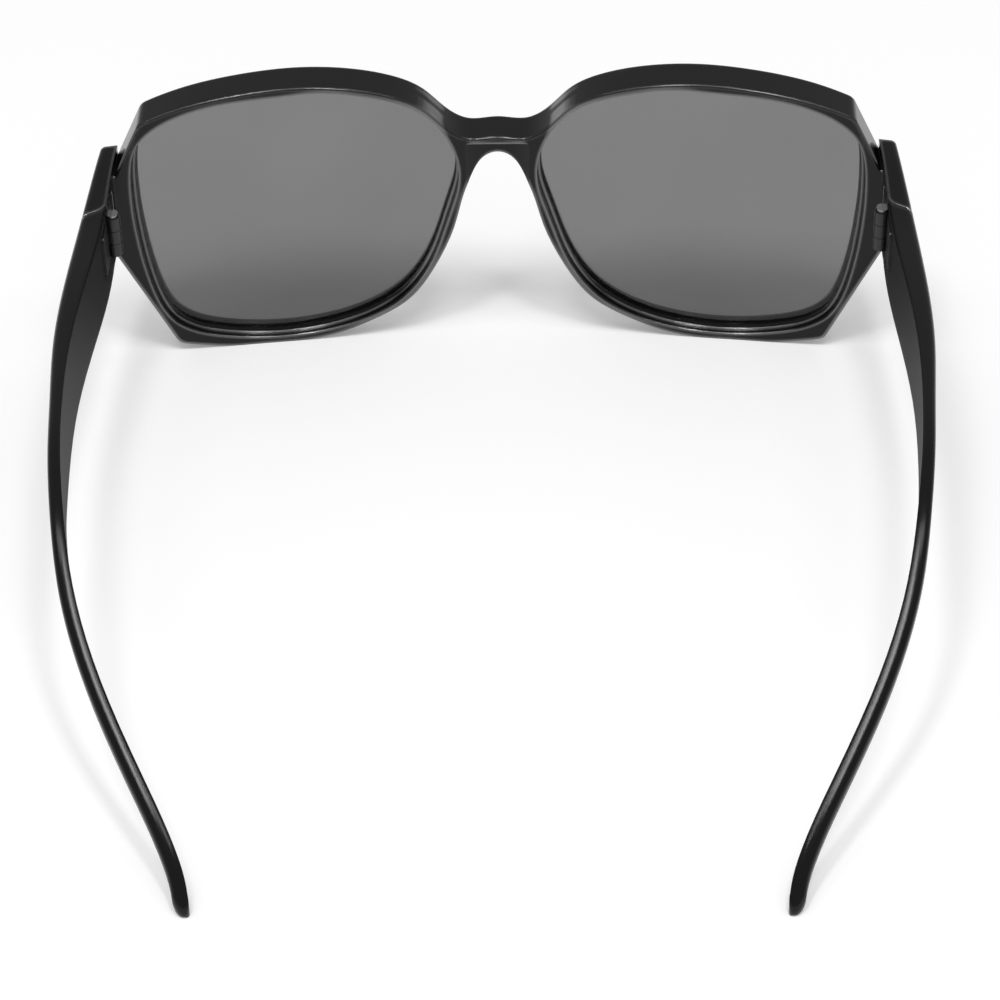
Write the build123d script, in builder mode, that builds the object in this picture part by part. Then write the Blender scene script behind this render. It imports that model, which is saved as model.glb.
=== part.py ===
from build123d import *
import os

# Fitover sunglasses, in millimetres, standing as they are put down on a table: open, on the
# bottoms of the two rims and on the tips of the temples.
# X runs to the wearer's left, +Y to the back, towards the ears, and +Z up. The origin lies on
# the table under the middle of the open glasses.
# The left side is modelled and the right side is its mirror image.

# Driving sizes of the front
front_half_width = 73.5       # centre to the outer face of an end piece, at the front
front_height = 58.0           # rim bottoms to the crest of the brow
wrap_radius = 390.0           # curve of the front face seen from above
base_radius = 560.0           # its curve seen from the side: upright at the crest, leaning below
rim_depth = 7.3               # front face to back face of the front, at the crest
brow_edge_radius = 0.45       # rounding along the front and back edges of the brow
corner_radius = 2.4           # top outer corner of the brow
low_corner_radius = 2.2       # bottom outer corner of a rim
bridge_hollow_radius = 9.0    # upright hollow in the back of the bridge
bridge_hollow_depth = 2.0
bridge_ledge = 1.2            # wall left over the hollow

# Lens and its seat
lens_recess = 0.9             # front face to the front of the lens
lens_thickness = 1.2
lens_hold = 0.75              # how far the groove holds the lens behind the rim's lip
lens_play = 0.05              # gap all round the lens in its groove
seat_lip = 0.25               # the opening behind the groove is wider than the front one by this
seat_depth = 1.3              # length of that stretch, from the lens to the ledge
seat_step = 0.5               # the ledge widens the opening again by this

# Side arm: the end piece and the temple, one flowing shape that the joint cuts in two
arm_length = 158.5            # front of the brow to the very end of a temple
arm_spread = 76.4             # centre to the outer face of a temple at its widest
arm_top = 43.8                # top of the end piece above the table, at the front
blade_height = 15.6           # height of the end piece and of the flat front of the temple
blade_thickness = 4.3         # thickness at the hinge
rod_height = 3.2              # height of the slim part that goes over the ear
rod_thickness = 2.8
arm_outer_radius = 1.1        # rounding of the two outer long edges, and of the rod all round
arm_inner_radius = 0.45       # rounding of the two inner long edges of the blade
corner_limit_share = 0.45     # no rounding of the arm is more than this share of its thickness
tip_length = 1.7              # rounded end of the temple
joint_inner_setback = 22.9    # joint line at the arm's inner face, behind the front of the brow
joint_inner_reach = 70.9      # and its distance from the middle
joint_outer_setback = 27.3    # the same at the outer face
joint_outer_reach = 75.2
joint_gap = 0.15              # joint line between the end piece and the open temple

# Hinge
knuckle_radius = 1.5
knuckle_height = 2.7          # each of the three knuckles
knuckle_play = 0.1            # axial gap between two knuckles
hinge_middle = 36.2           # height of the middle of the hinge above the table
hinge_inset = 0.95            # hinge axis inward from the arm's inner face
hinge_setback = 23.3          # hinge axis behind the front of the brow
leaf_thickness = 0.75
leaf_length = 7.5             # each leaf, from the hinge axis
leaf_play = 0.05              # gap between a leaf and its pocket
knuckle_clearance = 0.3       # gap between the knuckles and the plastic round them
leaf_corner_radius = 1.0
peg_radius = 0.6              # pegs behind a leaf, pressed into the plastic
peg_length = 1.6
peg_pitch = 4.2               # distance between the two pegs of a leaf, up and down
peg_inset = 2.2               # pegs inward from the far end of the leaf
screw_radius = 0.7
screw_play = 0.04             # running gap round the screw in the knuckles
screw_head_radius = 1.15
screw_head_height = 0.6
slot_width = 0.3
slot_depth = 0.3
overrun = 5.0                 # how far every cut runs past what it cuts

# Outlines seen from the front, from the middle of the bridge outwards, as shares of the
# half width and of the height
brow_shares = [
    (0.0, 0.788), (0.072, 0.783), (0.12, 0.815), (0.186, 0.9), (0.272, 0.956),
    (0.38, 0.988), (0.5, 1.0), (0.64, 0.989), (0.78, 0.958), (0.886, 0.913),
]
brow_end_slope = -0.42
groove_share = (0.9565, 0.726)
side_top_share = (0.99, 0.735)
side_bottom_share = (0.99, 0.535)
side_low_share = (0.985, 0.462)
low_corner_share = (0.836, 0.036)
low_corner_slope = 0.35
low_side_shares = [(0.77, 0.0155), (0.68, 0.0)]
land_inner_share = (0.55, 0.0)
nose_shares = [
    (0.42, 0.024), (0.33, 0.0725), (0.235, 0.153), (0.18, 0.25), (0.142, 0.346),
    (0.112, 0.448), (0.091, 0.553), (0.065, 0.643), (0.036, 0.694), (0.0, 0.709),
]
opening_shares = [
    (0.49, 0.963), (0.667, 0.947), (0.81, 0.9), (0.878, 0.838), (0.908, 0.698),
    (0.903, 0.465), (0.878, 0.267), (0.827, 0.124), (0.707, 0.055), (0.544, 0.038),
    (0.388, 0.074), (0.258, 0.169), (0.18, 0.319), (0.137, 0.483), (0.109, 0.63),
    (0.1265, 0.755), (0.185, 0.8655), (0.306, 0.934),
]

# Stations of the side arm, from just ahead of the front face, which trims it, to the rounded
# end: distance back as a share of the length up to there, outer face as a share of the spread,
# top as a share of the arm's top, then height and thickness as shares of the way from the rod's
# sizes to the blade's
arm_shares = [
    (0.0255, 0.957, 1.008, 1.0, 0.2),
    (0.0531, 0.9625, 1.005, 1.0, 0.3),
    (0.1112, 0.974, 0.984, 1.0, 0.6),
    (0.1735, 0.9843, 0.966, 1.0, 0.97),
    (0.2871, 0.9974, 0.966, 1.0, 0.77),
    (0.3952, 1.0, 0.963, 0.98, 0.17),
    (0.4973, 0.9856, 0.955, 0.93, -0.38),
    (0.5742, 0.9738, 0.931, 0.76, -0.4),
    (0.6439, 0.958, 0.859, 0.32, -0.32),
    (0.7207, 0.9306, 0.721, 0.04, -0.2),
    (0.8163, 0.8586, 0.518, 0.0, -0.1),
    (0.9057, 0.7605, 0.331, 0.0, -0.05),
    (0.9694, 0.6885, 0.186, 0.0, -0.1),
    (1.0, 0.6652, 0.0872, 0.0, -0.13),
]
# The rounded end of the temple: distance as a share of its length, and size of the section as a
# share of the last one
tip_shares = [(0.0, 1.0), (0.35, 0.937), (0.6, 0.8), (0.8, 0.6), (0.93, 0.368), (0.99, 0.15)]
# The joint line seen from above, as shares of the way from its inner end to its outer end
joint_shares = [(0.0, 0.0), (0.3, 0.36), (0.62, 0.53), (1.0, 1.0)]

# Planes through the point under the front of the brow from which every size backwards is
# measured: as seen from above, from the front and from the wearer's left
brow_front = (0, -arm_length / 2, 0)
plan = Plane(origin=brow_front, x_dir=(1, 0, 0), z_dir=(0, 0, 1))
front_view = Plane(origin=brow_front, x_dir=(1, 0, 0), z_dir=(0, -1, 0))
side_view = Plane(origin=brow_front, x_dir=(0, 1, 0), z_dir=(1, 0, 0))
wrap_axis = Axis((0, wrap_radius - arm_length / 2, 0), (0, 0, 1))


def outline_point(share):
    """A point of an outline, in front-view X and Z."""
    return (share[0] * front_half_width, share[1] * front_height)


def wrapped(outline, near, far):
    """An outline as a solid that follows the curved front face, between two depths behind it."""
    with BuildPart() as piece:
        with BuildSketch(side_view):
            with Locations((base_radius, front_height)):
                Circle(base_radius - near)
                Circle(base_radius - far, mode=Mode.SUBTRACT)
            with Locations((0, front_height / 2)):
                Rectangle(2 * arm_spread, front_height + 2 * overrun, mode=Mode.INTERSECT)
        revolve(axis=wrap_axis)
        extrude(outline, amount=arm_spread, both=True, mode=Mode.INTERSECT)
    return piece.part


# Outline of the front without its end pieces, seen from the front: the brow rises from the
# bridge and falls past its corner along a sloping facet into a narrow groove
with BuildSketch(front_view) as front_outline:
    with BuildLine():
        brow = Spline(
            [outline_point(s) for s in brow_shares],
            tangents=[(1, 0), (1, brow_end_slope)],
            tangent_scalars=[1, 1],
        )
        Polyline(
            brow @ 1,
            outline_point(groove_share),
            outline_point(side_top_share),
            outline_point(side_bottom_share),
            outline_point(side_low_share),
            outline_point(low_corner_share),
        )
        low_side = Spline(
            [outline_point(s) for s in [low_corner_share] + low_side_shares],
            tangents=[(-1, -low_corner_slope), (-1, 0)],
            tangent_scalars=[1, 1],
        )
        Line(low_side @ 1, outline_point(land_inner_share))
        nose = Spline(
            [outline_point(s) for s in [land_inner_share] + nose_shares],
            tangents=[(-1, 0), (-1, 0)],
            tangent_scalars=[1, 1],
        )
        Line(nose @ 1, brow @ 0)
    make_face()
    for share, radius in (
        (brow_shares[-1], corner_radius),
        (low_corner_share, low_corner_radius),
    ):
        place = Vector(*outline_point(share))
        fillet(front_outline.vertices().sort_by_distance(place)[0], radius=radius)
    mirror(about=Plane.YZ)

# Edge of the left rim's opening, seen from the front
with BuildLine() as opening_edge:
    Spline([outline_point(s) for s in opening_shares], periodic=True)


def opening(widening):
    """The left rim's opening, seen from the front, wider all round by the given amount."""
    edge = opening_edge.edges()[0]
    count = 2 * len(opening_shares)
    moved_out = []
    for n in range(count):
        place = edge @ (n / count)
        run = edge % (n / count)
        moved_out.append((place.X - widening * run.Y, place.Y + widening * run.X))
    with BuildSketch(front_view) as seen:
        with BuildLine():
            Spline(moved_out, periodic=True)
        make_face()
    return seen.sketch


# The joint seen from above: all that lies behind this S-shaped line belongs to the temple
with BuildSketch(plan) as behind_joint:
    with BuildLine():
        joint = Spline([
            (
                joint_inner_reach + across * (joint_outer_reach - joint_inner_reach),
                joint_inner_setback + back * (joint_outer_setback - joint_inner_setback),
            )
            for across, back in joint_shares
        ])
        Polyline(
            joint @ 1,
            (arm_spread + overrun, joint_outer_setback + overrun),
            (arm_spread + overrun, arm_length + overrun),
            (0, arm_length + overrun),
            (0, joint_inner_setback - overrun),
            (joint_inner_reach - overrun / 2, joint_inner_setback - overrun),
            joint @ 0,
        )
    make_face()


def arm_section(back, middle, thickness, height, outer_radius, inner_radius):
    """A section across the arm: a rectangle with its two outer and two inner corners rounded."""
    limit = corner_limit_share * thickness
    with BuildSketch(front_view.offset(-back)) as section:
        with Locations(middle):
            Rectangle(thickness, height)
        outer_corners = section.vertices().group_by(Axis.X)[-1]
        inner_corners = section.vertices().group_by(Axis.X)[0]
        fillet(outer_corners, radius=min(outer_radius, limit))
        fillet(inner_corners, radius=min(inner_radius, limit))
    return section.sketch


# The whole left side arm, and the rounded end that goes on in the direction of its last stretch
stretch = arm_length - tip_length
with BuildPart() as left_arm:
    for back, out, up, blade_height_share, blade_thickness_share in arm_shares:
        height = rod_height + blade_height_share * (blade_height - rod_height)
        thickness = rod_thickness + blade_thickness_share * (blade_thickness - rod_thickness)
        middle = Vector(out * arm_spread - thickness / 2, up * arm_top - height / 2)
        blend = arm_outer_radius + blade_height_share * (arm_inner_radius - arm_outer_radius)
        add(arm_section(back * stretch, middle, thickness, height, arm_outer_radius, blend))
    loft()
    turn_in = (arm_shares[-1][1] - arm_shares[-2][1]) * arm_spread
    turn_down = (arm_shares[-1][2] - arm_shares[-2][2]) * arm_top
    last_run = (arm_shares[-1][0] - arm_shares[-2][0]) * stretch
    for along, size in tip_shares:
        past_end = along * tip_length
        tip_middle = middle + Vector(turn_in, turn_down) * (past_end / last_run)
        add(arm_section(
            stretch + past_end, tip_middle, size * thickness, size * height,
            size * arm_outer_radius, size * arm_outer_radius,
        ))
    loft()

# Places of the hinge that its leaves, its screw and the plastic round it share
axis_reach = joint_inner_reach - hinge_inset
hinge_height = 3 * knuckle_height + 2 * knuckle_play
hinge_bottom = hinge_middle - hinge_height / 2
hinge_top = hinge_middle + hinge_height / 2
knuckle_bottoms = [hinge_bottom + n * (knuckle_height + knuckle_play) for n in range(3)]
leaf_inner_reach = axis_reach + knuckle_radius - leaf_thickness


def hinge_room(direction):
    """The room for a leaf and the knuckles in the plastic: 1 in the temple, -1 in the end piece."""
    with BuildPart() as room:
        with BuildSketch(plan.offset(hinge_bottom - knuckle_clearance)):
            with Locations((axis_reach, hinge_setback)):
                Circle(knuckle_radius + knuckle_clearance)
        extrude(amount=hinge_height + screw_head_height + 2 * knuckle_clearance)
        with BuildSketch(side_view.offset(leaf_inner_reach - knuckle_radius)):
            with Locations((hinge_setback + direction * leaf_length / 2, hinge_middle)):
                Rectangle(leaf_length + 2 * leaf_play, hinge_height + 2 * leaf_play)
        extrude(amount=knuckle_radius + leaf_thickness + leaf_play)
        with BuildSketch(side_view.offset(leaf_inner_reach)):
            with Locations((hinge_setback + direction * (leaf_length - peg_inset), hinge_middle)):
                with GridLocations(0, peg_pitch, 1, 2):
                    Circle(peg_radius + leaf_play)
        extrude(amount=leaf_thickness + peg_length + leaf_play)
    return room.part


def hinge_leaf(direction, own_knuckles, other_knuckles):
    """One leaf with its knuckles and pegs: 1 lies on the temple, -1 on the end piece."""
    with BuildPart() as leaf:
        with BuildSketch(side_view.offset(leaf_inner_reach)) as plate:
            with Locations((hinge_setback + direction * leaf_length / 2, hinge_middle)):
                Rectangle(leaf_length, hinge_height)
            far_corners = plate.vertices().sort_by(Axis.X, reverse=direction > 0)[:2]
            fillet(far_corners, radius=leaf_corner_radius)
        extrude(amount=leaf_thickness)
        for bottom in other_knuckles:
            with BuildSketch(plan.offset(bottom - knuckle_play)):
                with Locations((axis_reach, hinge_setback)):
                    Circle(knuckle_radius + knuckle_clearance)
            extrude(amount=knuckle_height + 2 * knuckle_play, mode=Mode.SUBTRACT)
        for bottom in own_knuckles:
            with BuildSketch(plan.offset(bottom)):
                with Locations((axis_reach, hinge_setback)):
                    Circle(knuckle_radius)
            extrude(amount=knuckle_height)
        with BuildSketch(side_view.offset(leaf_inner_reach + leaf_thickness)):
            with Locations((hinge_setback + direction * (leaf_length - peg_inset), hinge_middle)):
                with GridLocations(0, peg_pitch, 1, 2):
                    Circle(peg_radius)
        extrude(amount=peg_length)
        with BuildSketch(plan.offset(hinge_bottom)):
            with Locations((axis_reach, hinge_setback)):
                Circle(screw_radius + screw_play)
        extrude(amount=hinge_height, mode=Mode.SUBTRACT)
    return leaf.part


def left_and_right(solid, name):
    """Writes the left piece and its mirror image under their names."""
    with BuildPart() as left_piece:
        add(solid)
    with BuildPart() as right_piece:
        mirror(solid, about=Plane.YZ)
    for piece, side in ((left_piece, "left_"), (right_piece, "right_")):
        piece.part.label = side + name
        export_step(piece.part, "parts/" + side + name + ".step")


os.makedirs("parts", exist_ok=True)
seat_back = lens_recess + lens_thickness + lens_play
ledge_back = seat_back + seat_depth

# The cuts of a rim: the opening right through, the groove that holds the lens, and behind it
# the stretch and the ledge that widen the opening towards the back
with BuildPart() as left_rim_cut:
    add(wrapped(opening(0), -overrun, rim_depth + overrun))
    add(wrapped(opening(lens_hold + lens_play), lens_recess - lens_play, seat_back))
    add(wrapped(opening(seat_lip), seat_back, rim_depth + overrun))
    add(wrapped(opening(seat_lip + seat_step), ledge_back, rim_depth + overrun))

# The end piece is the part of the arm between the front face and the joint line
with BuildSketch(front_view) as whole_front:
    with Locations((0, front_height / 2)):
        Rectangle(2 * arm_spread, front_height)
with BuildPart() as left_end_piece:
    add(left_arm.part)
    add(wrapped(whole_front.sketch, -overrun, 0), mode=Mode.SUBTRACT)
    extrude(behind_joint.sketch, amount=front_height, mode=Mode.SUBTRACT)
    add(hinge_room(-1), mode=Mode.SUBTRACT)

with BuildPart() as front_frame:
    add(wrapped(front_outline.sketch, 0, rim_depth + overrun))
    with BuildSketch(plan.offset(-overrun)):
        with Locations((0, wrap_radius)):
            Circle(wrap_radius - rim_depth)
    extrude(amount=front_height + 2 * overrun, mode=Mode.SUBTRACT)
    curved_faces = front_frame.faces().sort_by(SortBy.AREA)[-2:]
    brow_edges = [
        edge for edge in curved_faces.edges()
        if edge.center().Z > arm_top and abs(edge.center().X) < joint_inner_reach
    ]
    fillet(brow_edges, radius=brow_edge_radius)
    add(left_rim_cut.part, mode=Mode.SUBTRACT)
    mirror(left_rim_cut.part, about=Plane.YZ, mode=Mode.SUBTRACT)
    with BuildSketch(plan):
        with Locations((0, rim_depth - bridge_hollow_depth + bridge_hollow_radius)):
            Circle(bridge_hollow_radius)
    extrude(amount=brow_shares[1][1] * front_height - bridge_ledge, mode=Mode.SUBTRACT)
    add(left_end_piece.part)
    mirror(left_end_piece.part, about=Plane.YZ)
front_frame.part.label = "front_frame"
export_step(front_frame.part, "parts/front_frame.step")

left_lens = wrapped(opening(lens_hold), lens_recess, lens_recess + lens_thickness)
left_and_right(left_lens, "lens")

with BuildSketch() as temple_plan:
    with Locations((0, joint_gap)):
        add(behind_joint.sketch)
with BuildPart() as left_temple:
    add(left_arm.part)
    extrude(temple_plan.sketch, amount=front_height, mode=Mode.INTERSECT)
    add(hinge_room(1), mode=Mode.SUBTRACT)
left_and_right(left_temple.part, "temple")

left_and_right(
    hinge_leaf(-1, [knuckle_bottoms[0], knuckle_bottoms[2]], [knuckle_bottoms[1]]),
    "front_hinge_leaf",
)
left_and_right(
    hinge_leaf(1, [knuckle_bottoms[1]], [knuckle_bottoms[0], knuckle_bottoms[2]]),
    "temple_hinge_leaf",
)

with BuildPart() as hinge_screw:
    with BuildSketch(plan.offset(hinge_bottom)):
        with Locations((axis_reach, hinge_setback)):
            Circle(screw_radius)
    extrude(amount=hinge_height)
    with BuildSketch(plan.offset(hinge_top)):
        with Locations((axis_reach, hinge_setback)):
            Circle(screw_head_radius)
    extrude(amount=screw_head_height)
    with BuildSketch(plan.offset(hinge_top + screw_head_height)):
        with Locations((axis_reach, hinge_setback)):
            Rectangle(slot_width, 2 * screw_head_radius)
    extrude(amount=-slot_depth, mode=Mode.SUBTRACT)
left_and_right(hinge_screw.part, "hinge_screw")
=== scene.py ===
import math

import bpy
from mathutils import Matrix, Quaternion, Vector

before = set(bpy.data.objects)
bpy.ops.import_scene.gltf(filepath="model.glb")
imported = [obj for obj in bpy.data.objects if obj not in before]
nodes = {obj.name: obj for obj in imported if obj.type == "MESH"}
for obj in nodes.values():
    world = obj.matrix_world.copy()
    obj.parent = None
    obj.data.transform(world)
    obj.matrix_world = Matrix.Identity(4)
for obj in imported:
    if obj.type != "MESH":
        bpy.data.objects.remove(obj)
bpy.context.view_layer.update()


# Front frame.
# One injection moulding of nylon, black through and through and semi-gloss, as it comes out of
# a polished mould.
def linear(code):
    """An sRGB hex colour as the linear red, green, blue and alpha that shader sockets take."""
    parts = [int(code[n:n + 2], 16) / 255 for n in (1, 3, 5)]
    return [c / 12.92 if c <= 0.04045 else ((c + 0.055) / 1.055) ** 2.4 for c in parts] + [1.0]


def add_node(material, kind, settings=None, values=None, links=None):
    """Adds one node to a material or world, with its settings, its input values and its links."""
    node = material.node_tree.nodes.new(kind)
    for name, value in (settings or {}).items():
        setattr(node, name, value)
    for name, value in (values or {}).items():
        node.inputs[name].default_value = value
    for name, output in (links or {}).items():
        material.node_tree.links.new(output, node.inputs[name])
    return node


def new_material(name):
    """A material with an empty node tree."""
    material = bpy.data.materials.new(name)
    material.use_nodes = True
    material.node_tree.nodes.clear()
    return material


def finish_with(obj, material):
    """Gives a piece one material all over."""
    obj.data.materials.clear()
    obj.data.materials.append(material)


# Moulded nylon: the polished mould leaves a sheen that is broken up by a very fine, shallow
# texture. The grains are 0.35 mm across, a little coarser than the real ones, so that they show.
# Within a millimetre of its outer edges a strong coat is added, a painted highlight that draws thin
# lines of light along the edges.
grains_per_metre = 2800.0
edge_rounding = 0.0007
highlight_edge_width = 0.0009
moulded_nylon = new_material("moulded_black_nylon")
where = add_node(moulded_nylon, "ShaderNodeTexCoord")
grain = add_node(
    moulded_nylon, "ShaderNodeTexNoise",
    values={"Scale": grains_per_metre, "Detail": 2.0, "Roughness": 0.5},
    links={"Vector": where.outputs["Object"]},
)
flow = add_node(
    moulded_nylon, "ShaderNodeTexNoise",
    values={"Scale": 90.0, "Detail": 3.0, "Roughness": 0.55},
    links={"Vector": where.outputs["Object"]},
)
sheen = add_node(
    moulded_nylon, "ShaderNodeMapRange",
    values={"From Min": 0.3, "From Max": 0.7, "To Min": 0.15, "To Max": 0.2},
    links={"Value": flow.outputs["Fac"]},
)
edge = add_node(moulded_nylon, "ShaderNodeBevel", {"samples": 8}, {"Radius": edge_rounding})
relief = add_node(
    moulded_nylon, "ShaderNodeBump",
    values={"Strength": 0.02, "Distance": 0.0001},
    links={"Height": grain.outputs["Fac"], "Normal": edge.outputs["Normal"]},
)
near_edge = add_node(
    moulded_nylon, "ShaderNodeAmbientOcclusion", {"samples": 8, "inside": True, "only_local": True},
    {"Distance": highlight_edge_width},
)
# Painted highlight: the mask is strongest where the edge is close, and it raises the coat there.
painted_edge_highlight = add_node(
    moulded_nylon, "ShaderNodeMapRange",
    values={"From Min": 0.88, "From Max": 0.6, "To Min": 0.0, "To Max": 1.0},
    links={"Value": near_edge.outputs["AO"]},
)
nylon = add_node(
    moulded_nylon, "ShaderNodeBsdfPrincipled",
    values={
        "Base Color": linear("#0b0b0c"), "IOR": 1.5, "Specular IOR Level": 0.25,
        "Coat IOR": 2.3, "Coat Roughness": 0.14,
    },
    links={
        "Roughness": sheen.outputs["Result"], "Normal": relief.outputs["Normal"],
        "Coat Weight": painted_edge_highlight.outputs["Result"], "Coat Normal": edge.outputs["Normal"],
    },
)
add_node(moulded_nylon, "ShaderNodeOutputMaterial", links={"Surface": nylon.outputs["BSDF"]})
finish_with(nodes["front_frame"], moulded_nylon)


# Temples.
# The same nylon, moulded flat and bent inwards at the tips. The mould is polished, but for the
# blade's side that lies against the head, which is blasted and so comes out dull. The rod behind
# the blade is rounded off and shows one thin streak of light.
blade_end = 0.015
rod_start = 0.045
rod_rounding = 0.0013
satin_nylon = new_material("moulded_black_nylon_with_dull_inner_side")
where = add_node(satin_nylon, "ShaderNodeTexCoord")
grain = add_node(
    satin_nylon, "ShaderNodeTexNoise",
    values={"Scale": grains_per_metre, "Detail": 2.0, "Roughness": 0.5},
    links={"Vector": where.outputs["Object"]},
)
place = add_node(satin_nylon, "ShaderNodeSeparateXYZ", links={0: where.outputs["Object"]})
facing = add_node(satin_nylon, "ShaderNodeSeparateXYZ", links={0: where.outputs["Normal"]})
# Across the glasses, place times direction is above zero on the outer side and below it inside.
outwards = add_node(
    satin_nylon, "ShaderNodeMath", {"operation": "MULTIPLY"},
    links={0: place.outputs["X"], 1: facing.outputs["X"]},
)
on_blade = add_node(
    satin_nylon, "ShaderNodeMapRange",
    values={"From Min": blade_end, "From Max": rod_start, "To Min": 1.0, "To Max": 0.0},
    links={"Value": place.outputs["Y"]},
)
inner_side = add_node(
    satin_nylon, "ShaderNodeMath", {"operation": "MULTIPLY"},
    links={0: outwards.outputs[0], 1: on_blade.outputs["Result"]},
)
sheen = add_node(
    satin_nylon, "ShaderNodeMapRange",
    values={"From Min": -0.04, "From Max": -0.015, "To Min": 0.6, "To Max": 0.155},
    links={"Value": inner_side.outputs[0]},
)
edge = add_node(satin_nylon, "ShaderNodeBevel", {"samples": 12}, {"Radius": rod_rounding})
relief = add_node(
    satin_nylon, "ShaderNodeBump",
    values={"Strength": 0.006, "Distance": 0.0001},
    links={"Height": grain.outputs["Fac"], "Normal": edge.outputs["Normal"]},
)
nylon = add_node(
    satin_nylon, "ShaderNodeBsdfPrincipled",
    values={"Base Color": linear("#0b0b0c"), "IOR": 1.5, "Specular IOR Level": 0.25},
    links={"Roughness": sheen.outputs["Result"], "Normal": relief.outputs["Normal"]},
)
add_node(satin_nylon, "ShaderNodeOutputMaterial", links={"Surface": nylon.outputs["BSDF"]})
for name in ("left_temple", "right_temple"):
    finish_with(nodes[name], satin_nylon)


# Lenses.
# Each is a curved sheet of polycarbonate, dyed a neutral smoke grey and polished, snapped into
# the groove of its rim. Two faces each let through less than half of the light.
least_dye = 0.565
most_dye = 0.585
smoke_polycarbonate = new_material("dyed_smoke_polycarbonate")
where = add_node(smoke_polycarbonate, "ShaderNodeTexCoord")
cloud = add_node(
    smoke_polycarbonate, "ShaderNodeTexNoise",
    values={"Scale": 30.0, "Detail": 1.0},
    links={"Vector": where.outputs["Object"]},
)
dye = add_node(
    smoke_polycarbonate, "ShaderNodeMapRange",
    values={"From Min": 0.3, "From Max": 0.7, "To Min": least_dye, "To Max": most_dye},
    links={"Value": cloud.outputs["Fac"]},
)
sheet = add_node(
    smoke_polycarbonate, "ShaderNodeBsdfPrincipled",
    values={"Base Color": linear("#0c0c0e"), "IOR": 1.58, "Roughness": 0.03},
    links={"Alpha": dye.outputs["Result"]},
)
add_node(smoke_polycarbonate, "ShaderNodeOutputMaterial", links={"Surface": sheet.outputs["BSDF"]})
for name in ("left_lens", "right_lens"):
    finish_with(nodes[name], smoke_polycarbonate)


# Hinge leaves.
# Stamped and rolled steel under a black baked coat, let into the plastic at each joint.
coated_steel = new_material("black_coated_steel")
where = add_node(coated_steel, "ShaderNodeTexCoord")
coat_grain = add_node(
    coated_steel, "ShaderNodeTexNoise",
    values={"Scale": 4000.0, "Detail": 2.0},
    links={"Vector": where.outputs["Object"]},
)
coat_relief = add_node(
    coated_steel, "ShaderNodeBump",
    values={"Strength": 0.08, "Distance": 0.0001},
    links={"Height": coat_grain.outputs["Fac"]},
)
coat = add_node(
    coated_steel, "ShaderNodeBsdfPrincipled",
    values={"Base Color": linear("#101011"), "Roughness": 0.35, "IOR": 1.5},
    links={"Normal": coat_relief.outputs["Normal"]},
)
add_node(coated_steel, "ShaderNodeOutputMaterial", links={"Surface": coat.outputs["BSDF"]})
for side in ("left", "right"):
    finish_with(nodes[f"{side}_front_hinge_leaf"], coated_steel)
    finish_with(nodes[f"{side}_temple_hinge_leaf"], coated_steel)


# Hinge screws.
# Turned steel screws with a slotted head, left plain, so that they show as small pale dots.
turned_steel = new_material("turned_plain_steel")
where = add_node(turned_steel, "ShaderNodeTexCoord")
turning = add_node(
    turned_steel, "ShaderNodeTexWave",
    {"wave_type": "RINGS", "rings_direction": "Z"},
    values={"Scale": 900.0, "Distortion": 1.5, "Detail": 2.0},
    links={"Vector": where.outputs["Object"]},
)
turned_sheen = add_node(
    turned_steel, "ShaderNodeMapRange",
    values={"To Min": 0.2, "To Max": 0.34},
    links={"Value": turning.outputs["Fac"]},
)
steel = add_node(
    turned_steel, "ShaderNodeBsdfPrincipled",
    values={"Base Color": linear("#8d8e90"), "Metallic": 1.0},
    links={"Roughness": turned_sheen.outputs["Result"]},
)
add_node(turned_steel, "ShaderNodeOutputMaterial", links={"Surface": steel.outputs["BSDF"]})
for side in ("left", "right"):
    finish_with(nodes[f"{side}_hinge_screw"], turned_steel)


# Table.
# A plain white sheet that runs out of sight on all sides. It glows a little for what looks at
# it, so that it turns white where the light is full and still shows the glasses' shadow.
table_width = 12.0
table_glow = 0.2
bpy.ops.object.select_all(action="DESELECT")
bpy.ops.mesh.primitive_plane_add(size=table_width, location=(0, 0, 0))
table = bpy.context.object
table.name = "table"
white_sheet = new_material("white_paper_sheet")
path = add_node(white_sheet, "ShaderNodeLightPath")
seen = add_node(
    white_sheet, "ShaderNodeMath", {"operation": "MAXIMUM"},
    links={0: path.outputs["Is Camera Ray"], 1: path.outputs["Is Glossy Ray"]},
)
seen_through = add_node(
    white_sheet, "ShaderNodeMath", {"operation": "MAXIMUM"},
    links={0: seen.outputs[0], 1: path.outputs["Is Transmission Ray"]},
)
glow = add_node(
    white_sheet, "ShaderNodeMath", {"operation": "MULTIPLY"},
    values={1: table_glow},
    links={0: seen_through.outputs[0]},
)
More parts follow.
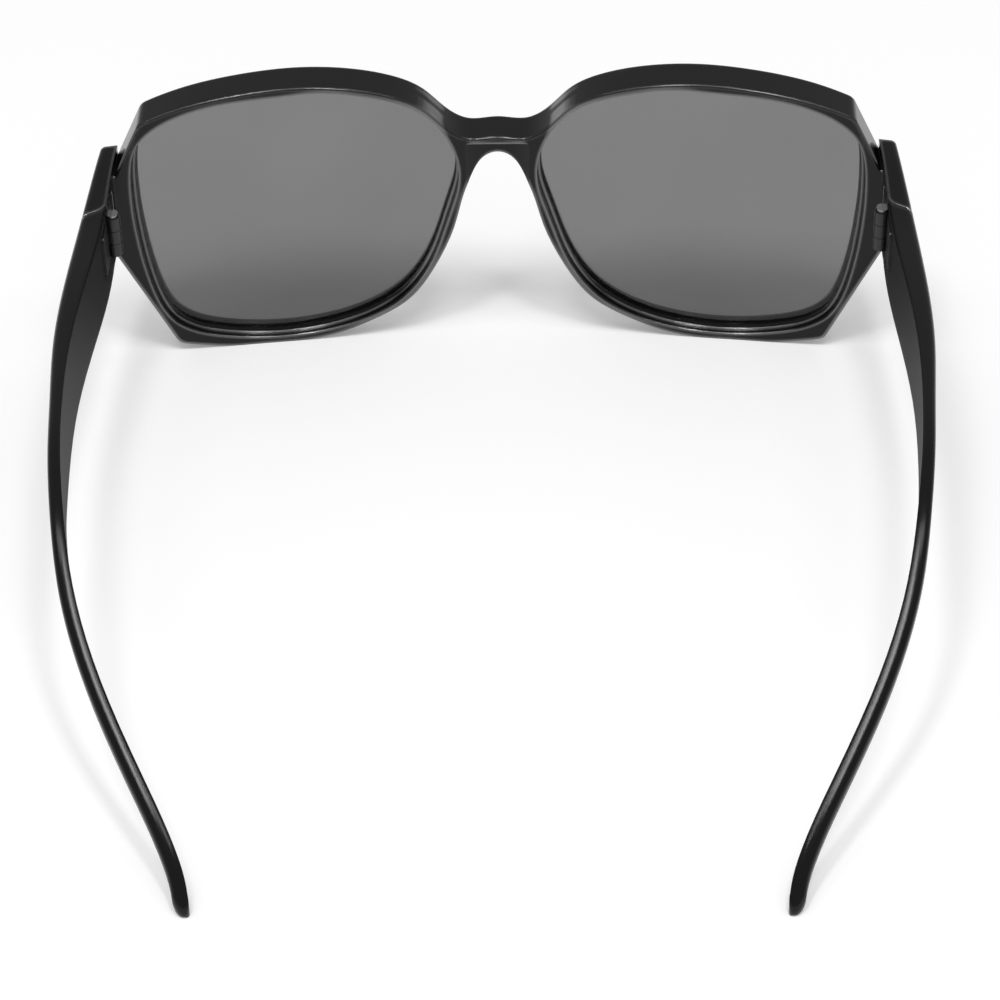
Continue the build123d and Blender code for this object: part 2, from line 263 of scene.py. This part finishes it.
paper = add_node(
    white_sheet, "ShaderNodeBsdfPrincipled",
    values={
        "Base Color": linear("#f0f0f0"), "Roughness": 0.9, "Specular IOR Level": 0.1,
        "Emission Color": [1.0, 1.0, 1.0, 1.0],
    },
    links={"Emission Strength": glow.outputs[0]},
)
add_node(white_sheet, "ShaderNodeOutputMaterial", links={"Surface": paper.outputs["BSDF"]})
finish_with(table, white_sheet)


# Studio.
# A white room, two strip lights high over the temple ends, each of which draws the thin light
# streak along one of them, and a wide low-powered one straight over the front for its edges.
room_light = 0.45
room = bpy.data.worlds.new("white_room")
bpy.context.scene.world = room
room.use_nodes = True
room.node_tree.nodes.clear()
air = add_node(
    room, "ShaderNodeBackground",
    values={"Color": [1.0, 1.0, 1.0, 1.0], "Strength": room_light},
)
add_node(room, "ShaderNodeOutputWorld", links={"Surface": air.outputs["Background"]})

for name, width, length, watts, place in (
    ("left_strip_light", 0.12, 0.28, 2.5, (0.19, 0.31, 1.1)),
    ("right_strip_light", 0.12, 0.28, 2.5, (-0.17, 0.31, 1.1)),
    ("front_edge_light", 1.2, 0.12, 2.2, (0.0, 0.12, 1.0)),
):
    lamp = bpy.data.lights.new(name, "AREA")
    lamp.shape = "RECTANGLE"
    lamp.size = width
    lamp.size_y = length
    lamp.energy = watts
    softbox = bpy.data.objects.new(name, lamp)
    bpy.context.scene.collection.objects.link(softbox)
    softbox.location = place
    softbox.rotation_euler = (-softbox.location).to_track_quat("-Z", "Y").to_euler()


# Camera.
# It looks down over the temple tips at the back of the front, from about 40 degrees up.
azimuth = math.radians(-1.838)
elevation = math.radians(40.93)
roll = math.radians(-1.539)
distance = 0.624088
middle = Vector((-0.001038, -0.001628, 0.018491))
lens = bpy.data.cameras.new("camera")
lens.lens = 129.17
lens.sensor_width = 36.0
camera = bpy.data.objects.new("camera", lens)
bpy.context.scene.collection.objects.link(camera)
back = Vector((
    math.sin(azimuth) * math.cos(elevation),
    math.cos(azimuth) * math.cos(elevation),
    math.sin(elevation),
))
camera.location = middle + distance * back
camera.rotation_mode = "QUATERNION"
camera.rotation_quaternion = (-back).to_track_quat("-Z", "Y") @ Quaternion((0, 0, 1), roll)
bpy.context.scene.camera = camera
bpy.context.scene.view_settings.view_transform = "Standard"
